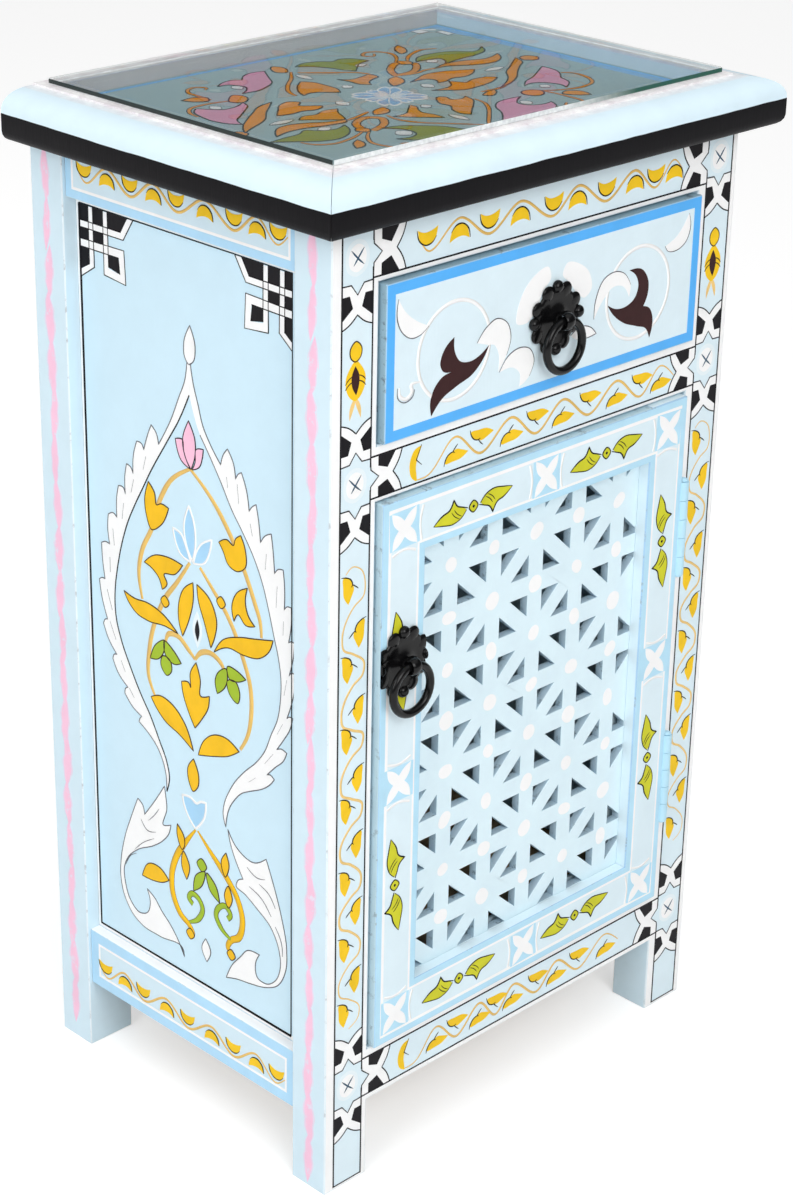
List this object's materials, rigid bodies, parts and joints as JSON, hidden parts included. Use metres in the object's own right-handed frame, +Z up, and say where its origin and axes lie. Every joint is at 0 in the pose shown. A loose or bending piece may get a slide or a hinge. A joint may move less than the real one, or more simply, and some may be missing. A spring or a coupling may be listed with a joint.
{
  "type": "painted nightstand",
  "caption": "Hand-painted wooden nightstand with a drawer over a fretwork door, ring pulls, panelled sides and a moulded tray top under a glass pane.",
  "frame": {"origin": "on the floor, under the middle of the whole outline", "axes": "+Z up, the front with the drawer and door faces -Y, +X to the right of a viewer facing the front"},
  "size_m": [0.415, 0.3026, 0.7126],
  "materials": {
    "painted_wood": "hand-painted pale blue, satin varnish",
    "painted_moulding": "hand-painted pale blue over a black band",
    "bare_wood": "unfinished softwood",
    "black_iron": "blackened, lightly polished",
    "painted_hinge": "light blue paint over steel",
    "zinc_steel": "zinc plated",
    "catch_plastic": "moulded",
    "pane_glass": "clear float glass with green edges"
  },
  "bodies": {
    "carcass": {"post_front_left": "painted_wood", "post_front_right": "painted_wood", "post_back_left": "painted_wood", "post_back_right": "painted_wood", "rail_front_top": "painted_wood", "rail_front_middle": "painted_wood", "rail_front_bottom": "painted_wood", "rail_left_top": "painted_wood", "rail_left_bottom": "painted_wood", "rail_right_top": "painted_wood", "rail_right_bottom": "painted_wood", "rail_back_top": "painted_wood", "rail_back_bottom": "painted_wood", "panel_left": "painted_wood", "panel_right": "painted_wood", "panel_back": "painted_wood", "floor_board": "bare_wood", "floor_cleat_left": "bare_wood", "floor_cleat_right": "bare_wood", "drawer_runner_left": "bare_wood", "drawer_runner_right": "bare_wood", "top_board": "painted_wood", "moulding_front": "painted_moulding", "moulding_left": "painted_moulding", "moulding_right": "painted_moulding", "moulding_back": "painted_moulding", "glass_top": "pane_glass", "magnetic_catch": "catch_plastic", "hinge_upper_frame_leaf": "painted_hinge", "hinge_upper_pin": "painted_hinge", "hinge_upper_frame_screw_lower": "zinc_steel", "hinge_upper_frame_screw_upper": "zinc_steel", "hinge_lower_frame_leaf": "painted_hinge", "hinge_lower_pin": "painted_hinge", "hinge_lower_frame_screw_lower": "zinc_steel", "hinge_lower_frame_screw_upper": "zinc_steel"},
    "drawer": {"drawer_front": "painted_wood", "drawer_side_left": "bare_wood", "drawer_side_right": "bare_wood", "drawer_back": "bare_wood", "drawer_bottom": "bare_wood", "drawer_pull_plate": "black_iron", "drawer_pull_eye": "black_iron"},
    "drawer_ring": {"drawer_pull_ring": "black_iron"},
    "door": {"door_stile_left": "painted_wood", "door_stile_right": "painted_wood", "door_rail_top": "painted_wood", "door_rail_bottom": "painted_wood", "door_lattice": "painted_wood", "door_strike_plate": "zinc_steel", "door_pull_plate": "black_iron", "door_pull_eye": "black_iron", "hinge_upper_door_leaf": "painted_hinge", "hinge_upper_door_screw_lower": "zinc_steel", "hinge_upper_door_screw_upper": "zinc_steel", "hinge_lower_door_leaf": "painted_hinge", "hinge_lower_door_screw_lower": "zinc_steel", "hinge_lower_door_screw_upper": "zinc_steel"},
    "door_ring": {"door_pull_ring": "black_iron"}
  },
  "joints": [
    {"name": "drawer_slide", "type": "slide", "parent": "carcass", "child": "drawer", "axis": [0, -1, 0], "range_m": [0, 0.18]},
    {"name": "drawer_ring_swing", "type": "hinge", "parent": "drawer", "child": "drawer_ring", "pos_m": [0.004, -0.14415, 0.582], "axis": [-1, 0, 0], "range_deg": [-6, 170]},
    {"name": "door_hinge", "type": "hinge", "parent": "carcass", "child": "door", "pos_m": [0.1472, -0.1339, 0.2985], "axis": [0, 0, 1], "range_deg": [0, 170]},
    {"name": "door_ring_swing", "type": "hinge", "parent": "door", "child": "door_ring", "pos_m": [-0.127, -0.14415, 0.384], "axis": [-1, 0, 0], "range_deg": [-6, 170]}
  ]
}
